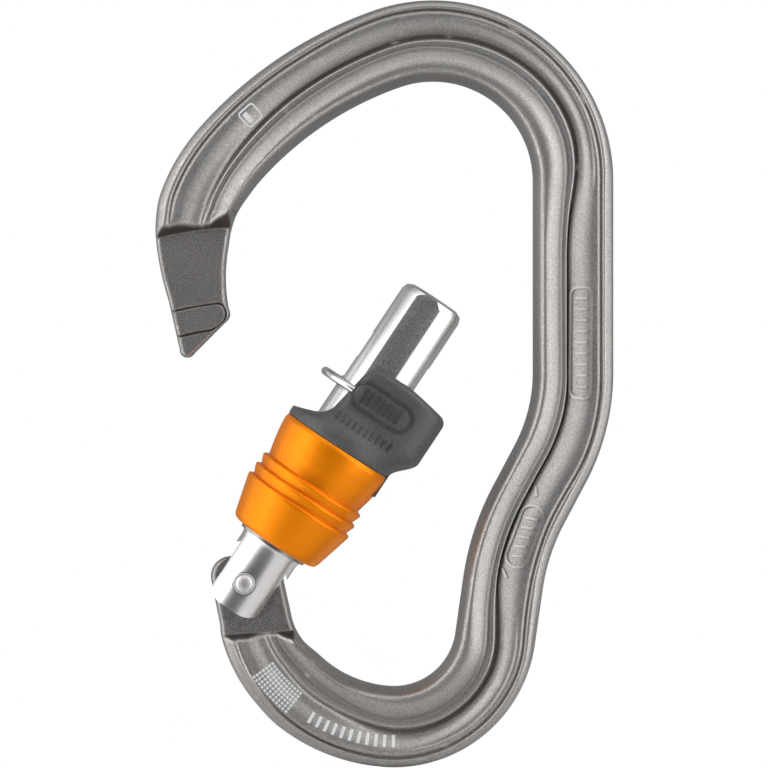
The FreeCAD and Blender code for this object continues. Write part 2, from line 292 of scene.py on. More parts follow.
def mixColour(tree, factor, first, second):
    node = tree.nodes.new("ShaderNodeMix")
    node.data_type = "RGBA"
    wire(tree, factor, node.inputs["Factor"])
    for socket, value in ((node.inputs[6], first), (node.inputs[7], second)):
        if isinstance(value, tuple):
            socket.default_value = (*value, 1)
        else:
            wire(tree, value, socket)
    return node.outputs[2]


def paintedShadeMask(tree, directions):
    # 1 where the surface faces one of the directions; used to lay painted shade on steps that face away from the light
    place = tree.nodes.new("ShaderNodeTexCoord")
    best = None
    for way in directions:
        dot = tree.nodes.new("ShaderNodeVectorMath")
        dot.operation = "DOT_PRODUCT"
        dot.inputs[1].default_value = way
        wire(tree, place.outputs["Normal"], dot.inputs[0])
        faced = dot.outputs["Value"]
        best = faced if best is None else reckon(tree, "MAXIMUM", best, faced)
    ramp = spread(tree, best, facingSpan)
    ramp.interpolation_type = "SMOOTHSTEP"
    return ramp.outputs["Result"]


def finish(name, look):
    material = bpy.data.materials.new(name)
    material.use_nodes = True
    tree = material.node_tree
    shader = tree.nodes["Principled BSDF"]
    shader.inputs["Metallic"].default_value = look["metallic"]
    shader.inputs["Specular IOR Level"].default_value = look.get("specular", 0.5)
    shader.inputs["Coat Weight"].default_value = look.get("coat", 0.0)
    shader.inputs["Coat Roughness"].default_value = coatRough
    grain = tree.nodes.new("ShaderNodeGroup")
    grain.node_tree = surfaceGrain
    grain.inputs["Grain Scale"].default_value = look["grainScale"]
    wearAndShade = tree.nodes.new("ShaderNodeGroup")
    wearAndShade.node_tree = edgeWearAndHollowShade
    wearAndShade.inputs["Low"].default_value, wearAndShade.inputs["High"].default_value = wearSpan
    speckle = spread(tree, grain.outputs["Grain"], noiseSpan)
    colour = mixColour(tree, speckle.outputs["Result"], look["dark"], look["light"])
    # painted shade in the hollows
    colour = mixColour(tree, wearAndShade.outputs["HollowShade"], colour, look["creaseShade"])
    colour = mixColour(tree, wearAndShade.outputs["Wear"], colour, look["worn"])
    # painted shade where the surface faces one of the look's directions
    if "shade" in look:
        colour = mixColour(tree, paintedShadeMask(tree, look["facing"]), colour, look["shade"])
    wire(tree, colour, shader.inputs["Base Color"])
    rough = spread(tree, grain.outputs["Cloud"], noiseSpan, look["rough"])
    wire(tree, rough.outputs["Result"], shader.inputs["Roughness"])
    bump = tree.nodes.new("ShaderNodeBump")
    bump.inputs["Strength"].default_value = look["bump"]
    bump.inputs["Distance"].default_value = bumpDepth
    wire(tree, grain.outputs["Grain"], bump.inputs["Height"])
    wire(tree, bump.outputs["Normal"], shader.inputs["Normal"])
    return material


# each look's hollow colour is painted shade laid into its creases
satin = {"metallic": 1.0, "dark": (0.32, 0.307, 0.297), "light": (0.55, 0.532, 0.517),
         "creaseShade": (0.14, 0.135, 0.13), "worn": (0.62, 0.605, 0.59), "rough": (0.43, 0.5),
         "grainScale": 4200.0, "bump": 0.5}
looks = {
    "satinAlloy": satin,
    # the steps beside the milled flats: satin with painted shade where they face down at the nose and up at the lug
    "stepShadeAlloy": {**satin, "shade": (0.1, 0.095, 0.092), "facing": ((0.14, 0.0, -0.99), (-0.058, 0.0, 0.998))},
    "blastedAlloy": {"metallic": 1.0, "dark": (0.13, 0.124, 0.12), "light": (0.36, 0.348, 0.338),
                     "creaseShade": (0.08, 0.076, 0.07), "worn": (0.6, 0.59, 0.57), "rough": (0.52, 0.6),
                     "grainScale": 5200.0, "bump": 0.5},
    "gateAlloy": {"metallic": 1.0, "dark": (0.84, 0.83, 0.82), "light": (0.94, 0.935, 0.93),
                  "creaseShade": (0.2, 0.195, 0.19), "worn": (0.9, 0.9, 0.89), "rough": (0.24, 0.31),
                  "grainScale": 6000.0, "bump": 0.22},
    "gateFlat": {"metallic": 1.0, "dark": (0.28, 0.272, 0.265), "light": (0.6, 0.59, 0.58),
                 "creaseShade": (0.2, 0.195, 0.19), "worn": (0.8, 0.8, 0.79), "rough": (0.36, 0.42),
                 "grainScale": 4200.0, "bump": 0.8},
    "orangeAnodise": {"metallic": 0.6, "dark": (1.0, 0.24, 0.0), "light": (1.0, 0.31, 0.0),
                      "creaseShade": (0.5, 0.1, 0.001), "worn": (1.0, 0.5, 0.06), "rough": (0.36, 0.42),
                      "grainScale": 4000.0, "bump": 0.1, "coat": 0.1, "specular": 0.15},
    "capPlastic": {"metallic": 0.0, "dark": (0.066, 0.066, 0.064), "light": (0.1, 0.099, 0.095),
                   "creaseShade": (0.012, 0.012, 0.012), "worn": (0.10, 0.10, 0.10), "rough": (0.38, 0.5),
                   "grainScale": 2600.0, "bump": 0.25},
    "brightWire": {"metallic": 1.0, "dark": (0.72, 0.72, 0.71), "light": (0.82, 0.82, 0.81),
                   "creaseShade": (0.3, 0.3, 0.3), "worn": (0.95, 0.95, 0.95), "rough": (0.2, 0.28),
                   "grainScale": 4000.0, "bump": 0.12},
    # the cap's raised marks, painted near black as a stand-in for the shade along their edges
    "capMark": {"metallic": 0.0, "dark": (0.016, 0.016, 0.016), "light": (0.03, 0.03, 0.03),
                "creaseShade": (0.008, 0.008, 0.008), "worn": (0.07, 0.07, 0.07), "rough": (0.4, 0.5),
                "grainScale": 2600.0, "bump": 0.2},
    "rivetSteel": {"metallic": 1.0, "dark": (0.62, 0.61, 0.6), "light": (0.8, 0.79, 0.78),
                   "creaseShade": (0.25, 0.245, 0.24), "worn": (0.9, 0.9, 0.9), "rough": (0.42, 0.5),
                   "grainScale": 4200.0, "bump": 0.3},
    "springSteel": {"metallic": 1.0, "dark": (0.42, 0.42, 0.42), "light": (0.5, 0.5, 0.5),
                    "creaseShade": (0.15, 0.15, 0.15), "worn": (0.7, 0.7, 0.7), "rough": (0.25, 0.33),
                    "grainScale": 4000.0, "bump": 0.12},
    "darkSteel": {"metallic": 1.0, "dark": (0.2, 0.2, 0.2), "light": (0.28, 0.28, 0.28),
                  "creaseShade": (0.06, 0.06, 0.06), "worn": (0.5, 0.5, 0.5), "rough": (0.3, 0.4),
                  "grainScale": 4000.0, "bump": 0.15},
    "paleInk": {"metallic": 0.0, "dark": (0.78, 0.78, 0.77), "light": (0.9, 0.9, 0.89),
                "creaseShade": (0.6, 0.6, 0.6), "worn": (0.7, 0.7, 0.7), "rough": (0.5, 0.6),
                "grainScale": 4000.0, "bump": 0.1},
}
finishes = {name: finish(name, look) for name, look in looks.items()}
print("finishes ready")

# the frame's bar: its path is made of (radius, bend in degrees) arcs and (length, 0) straights
bar = {
    "width": 13.4,
    "toNose": [(23.3, 19.2), (62.3, 28.8), (30.7, 11.3), (20.8, 31.6)],
    "toHinge": [(23.3, -90), (31.9, 0), (32.4, -27.9), (7.8, 0), (40.0, 19.8), (9.3, 0), (17.0, -85.9),
                (25.5, -64.0)],
}


def walk(runs, heading, spacing=0.25):
    # points and outward directions along tangent arcs and straights from the middle of the upper bend
    here, rows, travelled = np.array([0.0, bar["width"] / 2]), [], 0.0
    side = 1 if heading == 0 else -1
    for size, bend in runs:
        length = size if bend == 0 else size * math.radians(abs(bend))
        steps = max(2, round(length / spacing))
        for k in range(steps):
            angle = heading + math.radians(bend) * k / steps
            rows.append((travelled + length * k / steps, *here, -math.sin(angle) * side, math.cos(angle) * side))
            middle = heading + math.radians(bend) * (k + 0.5) / steps
            chord = length / steps
            if bend:
                half = math.radians(abs(bend)) / steps / 2
                chord *= math.sin(half) / half
            here = here + chord * np.array([math.cos(middle), math.sin(middle)])
        heading += math.radians(bend)
        travelled += length
    rows.append((travelled, *here, -math.sin(heading) * side, math.cos(heading) * side))
    return np.array(rows)


noseWay, hingeWay = walk(bar["toNose"], math.pi), walk(bar["toHinge"], 0.0)
noseWay[:, 0] *= -1
way = np.vstack([noseWay[::-1], hingeWay[1:]])


def side(s, outward):
    # a point of the bar's outer (+1) or inner (-1) edge at length s
    at = [np.interp(s, way[:, 0], way[:, k]) for k in range(1, 5)]
    reach = outward * bar["width"] / 2
    return np.stack([at[0] + at[2] * reach, at[1] + at[3] * reach], axis=-1)


def arcThrough(a, b, c, count=24):
    a, b, c = (np.array(p, float) for p in (a, b, c))
    m = np.array([b - a, c - b])
    centre = np.linalg.solve(m, [m[0] @ (a + b) / 2, m[1] @ (b + c) / 2])
    angles = np.unwrap([math.atan2(*(p - centre)[::-1]) for p in (a, b, c)])
    radius = np.linalg.norm(a - centre)
    swept = np.linspace(angles[0], angles[2], count)
    return centre + radius * np.stack([np.cos(swept), np.sin(swept)], axis=-1)


def line(*points):
    return np.vstack([np.linspace(a, b, 12) for a, b in zip(points, points[1:])])


# the two sides of the nose and of the hinge lug, from the pivot
noseTip = (-10.0, 37.3)
noseOuter = np.vstack([arcThrough(noseTip, (-10.75, 37.75), (-11.0, 38.6), 12), line((-11.0, 38.6), (-12.9, 46.9)),
                       arcThrough((-12.9, 46.9), (-14.0, 50.9), (-14.6, 54.0)),
                       arcThrough((-14.6, 54.0), (-15.0, 57.9), (-14.2, 64.9), 40)])
noseInner = np.vstack([arcThrough(noseTip, (-9.2, 37.35), (-8.6, 37.9), 12), line((-8.6, 37.9), (-3.3, 43.2)),
                       arcThrough((-3.3, 43.2), (-2.6, 44.3), (-2.8, 45.4), 12),
                       arcThrough((-2.8, 45.4), (-3.3, 50.9), (-2.8, 56.0), 40),
                       arcThrough((-2.8, 56.0), (-2.1, 59.6), (-0.7, 62.9))])
lugOuter = np.vstack([arcThrough((3.5, -22.1), (-1.7, -15.2), (-4.2, -8.5), 60), line((-4.3, -7.1), (-5.7, 0.0)),
                      arcThrough((-5.7, 0.0), (-5.1, 3.0), (-2.4, 4.2))])
lugInner = np.vstack([arcThrough((10.7, -11.1), (8.5, -8.2), (7.5, -5.1)), line((7.5, -5.1), (6.3, 0.2)),
                      arcThrough((6.3, 0.2), (5.4, 3.2), (3.0, 5.1))])


def lengths(points):
    return np.concatenate([[0], np.cumsum(np.linalg.norm(np.diff(points, axis=0), axis=1))])


def nearest(s, outward, target):
    return s[np.argmin(np.linalg.norm(side(s, outward) - target, axis=1))]


fine = np.linspace(way[0, 0], way[-1, 0], 3000)
noseOut, noseIn = noseOuter + pivot, noseInner + pivot
lugOut, lugIn = lugOuter + pivot, lugInner + pivot
startOut, startIn = nearest(fine, 1, noseOut[-1]), nearest(fine, -1, noseIn[-1])
endOut, endIn = nearest(fine, 1, lugOut[0]), nearest(fine, -1, lugIn[0])
print("sides meet the nose at", startOut, startIn, "and the lug at", endOut, endIn)


def easeJoint(points, at, reach):
    # takes out the points near a joint and bridges them with a smooth curve
    gap = np.linalg.norm(points - at, axis=1)
    near = np.nonzero(gap < reach)[0]
    first, last = near[0] - 1, near[-1] + 1
    a, b = points[first], points[last]
    size = np.linalg.norm(b - a)
    leave = (points[first] - points[first - 1]) / np.linalg.norm(points[first] - points[first - 1]) * size
    meet = (points[last + 1] - points[last]) / np.linalg.norm(points[last + 1] - points[last]) * size
    t = np.linspace(0, 1, 24)[1:-1, None]
    curve = ((2 * t**3 - 3 * t**2 + 1) * a + (t**3 - 2 * t**2 + t) * leave + (3 * t**2 - 2 * t**3) * b
             + (t**3 - t**2) * meet)
    return np.vstack([points[:first + 1], curve, points[last:]])


outerLine = np.vstack([noseOut[:-1], side(fine[(fine > startOut) & (fine < endOut)], 1), lugOut[1:]])
innerLine = np.vstack([noseIn[:-1], side(fine[(fine > startIn) & (fine < endIn)], -1), lugIn[1:]])
eased = {"outer": (2.5, 2.5), "inner": (3.0, 2.0)}  # how far round the joints with the nose and the lug
outerLine = easeJoint(easeJoint(outerLine, noseOut[-1], eased["outer"][0]), lugOut[0], eased["outer"][1])
innerLine = easeJoint(easeJoint(innerLine, noseIn[-1], eased["inner"][0]), lugIn[0], eased["inner"][1])


def along(points, lengthsOf, where):
    return np.stack([np.interp(where, lengthsOf, points[:, k]) for k in (0, 1)], axis=-1)


outerLength, innerLength = lengths(outerLine), lengths(innerLine)

# where each cross-section meets the two sides, as lengths along them
radii = np.concatenate([np.arange(40.6, 41.9, 0.25), np.arange(42.0, 42.9, 0.06), np.arange(43.0, 45.8, 0.15),
                        np.arange(45.9, 46.85, 0.06), np.arange(47.0, 58.2, 0.45), np.arange(58.3, 62.8, 0.14)])
nosePart, lugPart = slice(12, 160), slice(-110, None)  # the points of each side that belong to the nose and lug
noseA, noseB = (np.interp(radii, np.linalg.norm(edge[nosePart] - pivot, axis=1), of[nosePart])
                for edge, of in ((outerLine, outerLength), (innerLine, innerLength)))
tipShare = np.array([0.06, 0.16, 0.28, 0.42, 0.56, 0.7, 0.85])
noseA = np.concatenate([tipShare * noseA[0], noseA])
noseB = np.concatenate([tipShare * noseB[0], noseB])

stations = {"from": -37.0, "to": 147.0, "step": 0.42, "bridgeStep": 0.4, "noseTo": -35, "lugFrom": 140}
regular = np.arange(stations["from"], stations["to"], stations["step"])
regularA, regularB = [], []
for places, edge, of, outward in ((regularA, outerLine, outerLength, 1), (regularB, innerLine, innerLength, -1)):
    for target in side(regular, outward):
        k = int(np.argmin(np.linalg.norm(edge - target, axis=1)))
        k = min(max(k, 1), len(edge) - 2)
        ahead = (edge[k + 1] - edge[k - 1]) / np.linalg.norm(edge[k + 1] - edge[k - 1])
        places.append(of[k] + (target - edge[k]) @ ahead)
regularA, regularB = np.array(regularA), np.array(regularB)

shoulderAt, shoulderWay = np.array([-12.0, -9.1]), np.array([18.8, 1.1]) / math.hypot(18.8, 1.1)
shoulderUp = np.array([-shoulderWay[1], shoulderWay[0]])
rises = np.concatenate([np.arange(-1.6, 1.3, 0.12), np.arange(1.5, 11.6, 0.5), np.arange(11.7, 12.6, 0.15)])
lugA, lugB = (np.interp(rises, (edge[lugPart] - pivot - shoulderAt) @ shoulderUp, of[lugPart])
              for edge, of in ((outerLine, outerLength), (innerLine, innerLength)))


def bridge(start, end, count):
    # evenly eased lengths between two cross-sections
    return start + (end - start) * np.linspace(0, 1, count + 2)[1:-1]


before = max(2, round((regularA[0] + regularB[0] - noseA[-1] - noseB[-1]) / 2 / stations["bridgeStep"]))
after = max(2, round((lugA[0] + lugB[0] - regularA[-1] - regularB[-1]) / 2 / stations["bridgeStep"]))
atOuter = np.concatenate([noseA, bridge(noseA[-1], regularA[0], before), regularA,
                          bridge(regularA[-1], lugA[0], after), lugA])
atInner = np.concatenate([noseB, bridge(noseB[-1], regularB[0], before), regularB,
                          bridge(regularB[-1], lugB[0], after), lugB])
outerPoint, innerPoint = along(outerLine, outerLength, atOuter), along(innerLine, innerLength, atInner)
middle = (outerPoint + innerPoint) / 2
stationLength = lengths(middle)
stationLength += regular[0] - stationLength[len(noseA) + before]
print(len(middle), "cross-sections from", stationLength[0], "to", stationLength[-1])

# each track is how far across the bar a line runs, 0 at the outer side and 1 at the inner side, by length
tracks = {
    "crest": [(-50, .10), (-30, .10), (0, .08), (28, .08), (38, .105), (70, .11), (105, .10), (118, .08), (128, .08),
              (135, .09), (155, .12), (160, .13), (165, .13)],
    "groove": [(-52, .175), (-40, .175), (-35, .165), (-20, .165), (-10, .14), (28, .145), (36, .165), (68, .165),
               (80, .15), (90, .185), (100, .16), (110, .175), (118, .14), (135, .14), (150, .14), (155, .155),
               (160, .17), (168, .2)],
    "deep": [(-56, .60), (-44, .59), (-33, .53), (-25, .50), (-10, .475), (0, .46), (10, .435), (20, .405), (28, .405),
             (31, .425), (36, .47), (39, .50), (42, .54), (46, .575), (70, .575), (75, .56), (88, .585), (104, .585),
             (107, .57), (110, .53), (113, .49), (120, .44), (135, .43), (138, .435), (141, .46), (144, .50),
             (150, .56), (168, .60)],
    "ridge": [(-56, .645), (-48, .63), (-40, .61), (-30, .56), (-20, .535), (-10, .53), (0, .52), (10, .49), (22, .46),
              (29, .46), (36, .50), (39, .54), (43, .58), (48, .60), (68, .60), (74, .59), (88, .61), (105, .605),
              (110, .575), (114, .53), (118, .50), (125, .485), (132, .49), (140, .53), (147, .58), (168, .65)],
    "ledge": [(-56, .70), (-42, .69), (-30, .65), (-20, .625), (-10, .60), (10, .60), (20, .57), (30, .57), (37, .60),
              (42, .63), (47, .655), (70, .645), (80, .655), (88, .67), (110, .66), (113, .63), (118, .60), (125, .585),
              (135, .585), (142, .61), (146, .66), (149, .69), (153, .72), (168, .735)],
}
# how strong the middle step is along the bar
stepDepth = [(-56, 0.0), (-50, 0.3), (-44, 0.45), (-33, 0.8), (-20, 1.0), (138, 1.0), (144, 0.7), (149, 0.25),
             (168, 0.1)]
# how far the lines fade out where the bar meets the milled ends
fadeOut = [(-57, 1.0), (-54.5, 1.0), (-49, 0.0), (156, 0.0), (162, 0.8), (170, 1.0)]
# how strong the faint second line beside the outer groove is
secondLine = [(-56, 0.0), (0, 0.0), (12, 1.0), (32, 1.0), (40, 0.0), (108, 0.0), (116, 1.0), (130, 1.0), (137, 0.0)]


def track(table):
    where, value = zip(*table)
    smooth = [np.interp(stationLength + d, where, value) for d in (-2, -1, 0, 1, 2)]
    return sum(smooth) / len(smooth)


crest, groove, deep, ridge, ledge = (track(tracks[n]) for n in ("crest", "groove", "deep", "ridge", "ledge"))
step, second, fade = track(stepDepth), track(secondLine), track(fadeOut)
one = np.ones_like(crest)
webWide = deep - groove
# the lines that run along the bar: share across it and half thickness there
features = [
    (0 * one, 0 * one),
    (0.003 * one, 1.1 * one),
    (0.016 * one, 2.15 * one),
    (0.04 * one, 2.95 * one),
    (crest - 0.025, 3.58 * one),
    (crest, 3.9 * one),
    (crest + 0.03, 4.1 * one),
    (groove - 0.012, 3.98 + 0.06 * fade),
    (groove + 0.004, 3.6 + 0.35 * fade),
    (groove + 0.045, 3.88 * one),
    (groove + 0.085, 3.9 - 0.05 * second),
    (groove + 0.32 * webWide, 3.86 - 0.15 * second),
    (groove + 0.46 * webWide, 3.66 - 0.1 * second),
    (groove + 0.74 * webWide, 2.95 + 0.25 * (1 - step)),
    (deep - 0.035, 2.4 + 0.7 * (1 - step)),
    (deep, 1.95 + 1.0 * (1 - step)),
    (ridge, 3.1 - 0.05 * (1 - step)),
    (ledge, 3.05 * one),
    (ledge + 0.05, 3.7 * one),
    (ledge + 0.10, 4.22 * one),
    (ledge + 0.155, 4.68 * one),
    (0.4 * (ledge + 0.21) + 0.53, 4.98 * one),
    (0.91 * one, 4.72 * one),
    (0.945 * one, 3.85 * one),
    (0.975 * one, 2.5 * one),
    (0.993 * one, 1.1 * one),
    (one, 0 * one),
]
# how many strips lie between one line and the next
spans = [2, 2, 3, 3, 3, 3, 3, 3, 3, 3, 3, 4, 4, 3, 3, 4, 4, 3, 3, 3, 4, 4, 3, 3, 2, 2]


def acrossProfile():
    # a smooth line through the features: (share across, half height) for every cross-section
    knots = np.array([[u * bar["width"], h] for u, h in features])  # knot, 2, station
    gaps = np.linalg.norm(np.diff(knots, axis=0), axis=1)
    slopes = np.diff(knots, axis=0) / gaps[:, None]
    tangent = np.empty_like(knots)
    tangent[1:-1] = (slopes[:-1] * gaps[1:, None] + slopes[1:] * gaps[:-1, None]) / (gaps[1:] + gaps[:-1])[:, None]
    tangent[0] = tangent[-1] = 0
    tangent[0, 1], tangent[-1, 1] = 1, -1
    rows = []
    for k, count in enumerate(spans):
        for t in np.arange(count) / count:
            rows.append((2 * t**3 - 3 * t**2 + 1) * knots[k] + (t**3 - 2 * t**2 + t) * gaps[k] * tangent[k]
                        + (3 * t**2 - 2 * t**3) * knots[k + 1] + (t**3 - t**2) * gaps[k] * tangent[k + 1])
    rows.append(knots[-1])
    rows = np.array(rows)
    return np.clip(rows[:, 0] / bar["width"], 0, 1), np.maximum(rows[:, 1], 0)


share, height = acrossProfile()
surface = outerPoint + share[..., None] * (innerPoint - outerPoint)  # across, station, 2

milled = {"noseHalf": 1.75, "keyHalf": 2.1, "keyLow": 42.3, "keyHigh": 46.4, "keyCorner": 0.9, "keyInset": 0.75,
          "keyRamp": (-0.05, 0.2), "keyLine": 0.42, "keyLineAt": 0.1, "keyLineWidth": 0.17,
          "noseShoulder": 58.8, "noseSlope": 1.35, "noseBlend": 0.12,
          "lugHalf": 2.4, "lugSlope": 1.6, "lugBlend": 0.1, "rounding": 0.9, "edge": 0.95, "hole": 1.55}
fromHinge = surface - pivot
radius = np.linalg.norm(fromHinge, axis=-1)
isNose = stationLength < stations["noseTo"]
isLug = stationLength > stations["lugFrom"]
toInner = np.linalg.norm(surface - innerPoint, axis=-1)
toOuter = np.linalg.norm(surface - outerPoint, axis=-1)


def edgeFall(distance, rounding):
    # 0 at the bar's side, rising to 1 over a quarter round
    inward = 1 - np.clip(distance / rounding, 0, 1)
    return np.sqrt(1 - inward * inward)


# distance outside the raised key near the nose's tip, which is a band with rounded inner corners
corner = milled["keyCorner"]
keyMiddle, keyReach = (milled["keyLow"] + milled["keyHigh"]) / 2, (milled["keyHigh"] - milled["keyLow"]) / 2
bandOut = np.abs(radius - keyMiddle) - keyReach + corner
endOut = milled["keyInset"] - toInner + corner
outside = np.hypot(np.maximum(bandOut, 0), np.maximum(endOut, 0)) + np.minimum(np.maximum(bandOut, endOut), 0) - corner
plateEdge = edgeFall(toInner, milled["edge"]) * edgeFall(toOuter, milled["edge"])
nosePlate = (milled["noseHalf"] + (milled["keyHalf"] - milled["noseHalf"]) * softStep(-outside, *milled["keyRamp"])
             - milled["keyLine"] * np.exp(-((outside - milled["keyLineAt"]) / milled["keyLineWidth"]) ** 2))
nosePlate = (nosePlate * plateEdge
             + milled["noseSlope"] * softRamp(radius - milled["noseShoulder"], milled["noseBlend"]))
rise = (fromHinge - shoulderAt) @ shoulderUp
lugPlate = milled["lugHalf"] * plateEdge + milled["lugSlope"] * softRamp(-rise, milled["lugBlend"])
height = np.where(isNose, softMin(height, nosePlate, milled["rounding"]), height)
height = np.where(isLug, softMin(height, lugPlate, milled["rounding"]), height)
height = np.maximum(height, 0)


# where the milled finishes and the painted shade of the steps lie, from the pivot
zones = {"noseRight": 2, "noseAbove": 20, "noseStep": 3.0, "lugReach": 20, "lugStepReach": 24, "lugStep": 1.9,
         "flat": 0.8}


def makeFrame():
    across, stations = share.shape
    ring = 2 * across - 2
    bm = bmesh.new()
    bmesh.ops.create_grid(bm, x_segments=ring, y_segments=stations - 1, size=0.5)
    order = sorted(bm.verts, key=lambda v: (round((v.co.y + 0.5) * (stations - 1)), v.co.x))
    for index, vert in enumerate(order):
        station, place = divmod(index, ring + 1)
        front = place < across
        k = place if front else ring - place
        x, z = surface[k, station]
        vert.co = (x, -height[k, station] if front else height[k, station], z)
        vert.index = index
    bmesh.ops.remove_doubles(bm, verts=bm.verts[:], dist=mergeGap)
    fillHoles(bm)
    x, z = pivot
    bm = combine(bm, rod(milled["hole"], (x, -9, z), (x, 9, z), 48))
    centre, up = Vector((x, 0, z)), Vector((shoulderUp[0], 0, shoulderUp[1]))
    shoulder = Vector((shoulderAt[0], 0, shoulderAt[1]))
    for face in bm.faces:
        # the milled flats have their own finish; the steps beside them get painted shade where they face down or up
        place = face.calc_center_median() - centre
        out, above = math.hypot(place.x, place.z), (place - shoulder).dot(up)
        noseSide = place.x < zones["noseRight"] and place.z > zones["noseAbove"]
        onNose = noseSide and out < milled["noseShoulder"]
        onLug = place.length < zones["lugReach"] and above > 0
        noseStep = noseSide and out < milled["noseShoulder"] + zones["noseStep"]
        lugStep = place.length < zones["lugStepReach"] and above > -zones["lugStep"] and place.z < 0
        if onNose or onLug:
            face.material_index = int(abs(face.normal.y) > zones["flat"])
        elif noseStep or lugStep:
            face.material_index = 2
    return bm


framePiece = finishPiece("frameBody", makeFrame(), "body",
                         [finishes[n] for n in ("satinAlloy", "blastedAlloy", "stepShadeAlloy")], nodes=["frame"],
                         sharpAngle=80)

# the gate, upright on its axis with the hinge at height 0
gate = {"neck": 5.3, "barrel": 5.9, "long": 56.7, "foot": -4.85, "footCorner": 3.6, "footTop": 60, "forkHalf": 2.6,
        "forkRoot": 6.9, "facetDepth": 5.45, "facetTurn": -6.0, "facetFrom": 20.0, "slotBack": 1.4, "slotFloor": 38.0,
        "slotThroughFrom": 41.5, "slotHalf": 1.9, "keySlotHalf": 2.25, "keySlot": (42.0, 46.7),
        "bore": (2.0, 4.0, 30.0), "edge": 0.16, "pinHole": 1.5, "spotFace": (1.98, 4.9)}


def hingeRod(radius, half, segments=64):
    return rod(radius, (-hinge["offset"], -half, 0), (-hinge["offset"], half, 0), segments)


def aroundHinge(radius, fromX, toX, count=14):
    xs = np.linspace(fromX, toX, count)
    return [(x, math.sqrt(radius**2 - (x + hinge["offset"]) ** 2)) for x in xs]


def footOutline():
    side, low, corner = gate["neck"], gate["foot"], gate["footCorner"]
    middle = corner * (1 - math.sqrt(0.5))
    left = arcThrough((-side, low + corner), (-side + middle, low + middle), (-side + corner, low), 16)
    bottom = [tuple(p) for p in left] + [(-x, z) for x, z in left[::-1]]
    wide, top = 8, gate["footTop"]
    return [(-wide, top), (-wide, low + corner)] + bottom + [(wide, low + corner), (wide, top)]


def makeGate():
    neck, barrel, top = gate["neck"], gate["barrel"], gate["long"]
    # from the foot up: the neck, the lower ring's groove, the barrel with the upper ring's groove, the rounded tip
    body = turned([(0, gate["foot"] - 1), (neck, gate["foot"] - 1), (neck, 6.6), (neck + 0.25, 7.5), (5.0, 7.5),
                   (5.0, 8.0), (barrel, 8.0), (barrel, 18.2), (5.2, 18.2), (5.2, 18.9), (barrel, 18.9),
                   (barrel, top - 1.5), (barrel - 0.35, top - 0.5), (barrel - 1.3, top), (0, top)])
    body = combine(body, slab(footOutline(), 9), "INTERSECT")
    for face in (-1, 1):
        facet = block((-10, -20, gate["facetFrom"]), (10, -gate["facetDepth"], 60))
        bmesh.ops.rotate(facet, cent=(0, 0, 0), matrix=Matrix.Rotation(math.radians(gate["facetTurn"]), 3, "Z"),
                         verts=facet.verts[:])
        bmesh.ops.scale(facet, vec=(1, -face, 1), verts=facet.verts[:])
        body = combine(body, facet)
    body = roundEdges(body, gate["edge"], 2, 14)
    body = combine(body, hingeRod(gate["forkRoot"], gate["forkHalf"], 96))
    back, up = gate["slotBack"], gate["slotThroughFrom"]
    narrow = aroundHinge(gate["slotFloor"], -12, back) + [(back, up), (12, up), (12, 60), (-12, 60)]
    body = combine(body, slab(narrow, gate["slotHalf"]))
    low, high = gate["keySlot"]
    body = combine(body, slab(aroundHinge(low, -12, 12) + aroundHinge(high, 12, -12), gate["keySlotHalf"]))
    radius, start, end = gate["bore"]
    body = combine(body, rod(radius, (0, 0, start), (0, 0, end), 32))
    body = combine(body, hingeRod(gate["pinHole"], 10, 32))
    wide, deep = gate["spotFace"]
    for face in (-1, 1):
        body = combine(body, rod(wide, (-hinge["offset"], face * deep, 0), (-hinge["offset"], face * 9, 0), 48))
    tilt = math.radians(gate["facetTurn"])
    for face in body.faces:
        lean, centre = face.normal, face.calc_center_median()
        for sign in (-1, 1):
            flatWay = Vector((math.sin(tilt), sign * math.cos(tilt), 0))
            if lean.dot(flatWay) > 0.999 and centre.z > gate["facetFrom"] and face.calc_area() > 5:
                face.material_index = 1
    return body


finishPiece("gateBody", makeGate(), "gate", [finishes["gateAlloy"], finishes["gateFlat"]],
            nodes=["gate_body"], place=onGate(), sharpAngle=24)

# half of the rivet: (radius, distance from the middle plane)
rivetHalf = [(0, 5.5), (0.5, 5.47), (0.95, 5.36), (1.35, 5.17), (1.45, 5.1), (1.55, 5.16), (1.75, 5.14), (1.88, 5.0),
             (1.9, 4.88), (1.5, 4.88)]


def makeRivet():
    # drawn along the gate's axis, then laid along the hinge
    bm = turned(rivetHalf + [(r, -a) for r, a in rivetHalf[::-1]], 0.06, 64, 2)
    bmesh.ops.rotate(bm, cent=(0, 0, 0), matrix=Matrix.Rotation(math.pi / 2, 3, "X"), verts=bm.verts[:])
    bmesh.ops.translate(bm, vec=(-hinge["offset"], 0, 0), verts=bm.verts[:])
    return bm


finishPiece("hingeRivet", makeRivet(), "gate", finishes["rivetSteel"], nodes=["gate_rivet"],
            place=onGate(), sharpAngle=30)

# the locking sleeve: its outline as (radius, height), and the notch for the cap's key
sleeveProfile = [(5.95, 8.1), (7.3, 8.1), (7.9, 8.35), (8.25, 9.0), (9.9, 15.25), (9.9, 15.7), (9.2, 15.95),
                 (9.8, 17.4), (9.7, 17.75), (9.05, 17.95), (9.65, 19.4), (9.55, 19.7), (8.85, 19.98), (9.45, 22.6),
                 (9.85, 25.0), (10.0, 26.6), (9.8, 27.4), (8.2, 27.4), (8.2, 10.1), (5.95, 10.1)]
sleeveNotch = ((7.2, -2.5, 23.5), (13, 2.5, 29))
sleeve = combine(turned(sleeveProfile, 0.14, 128, 3), block(*sleeveNotch))
finishPiece("lockingSleeve", sleeve, "sleeve", finishes["orangeAnodise"], nodes=["locking_sleeve"],
            place=onGate(), sharpAngle=40)

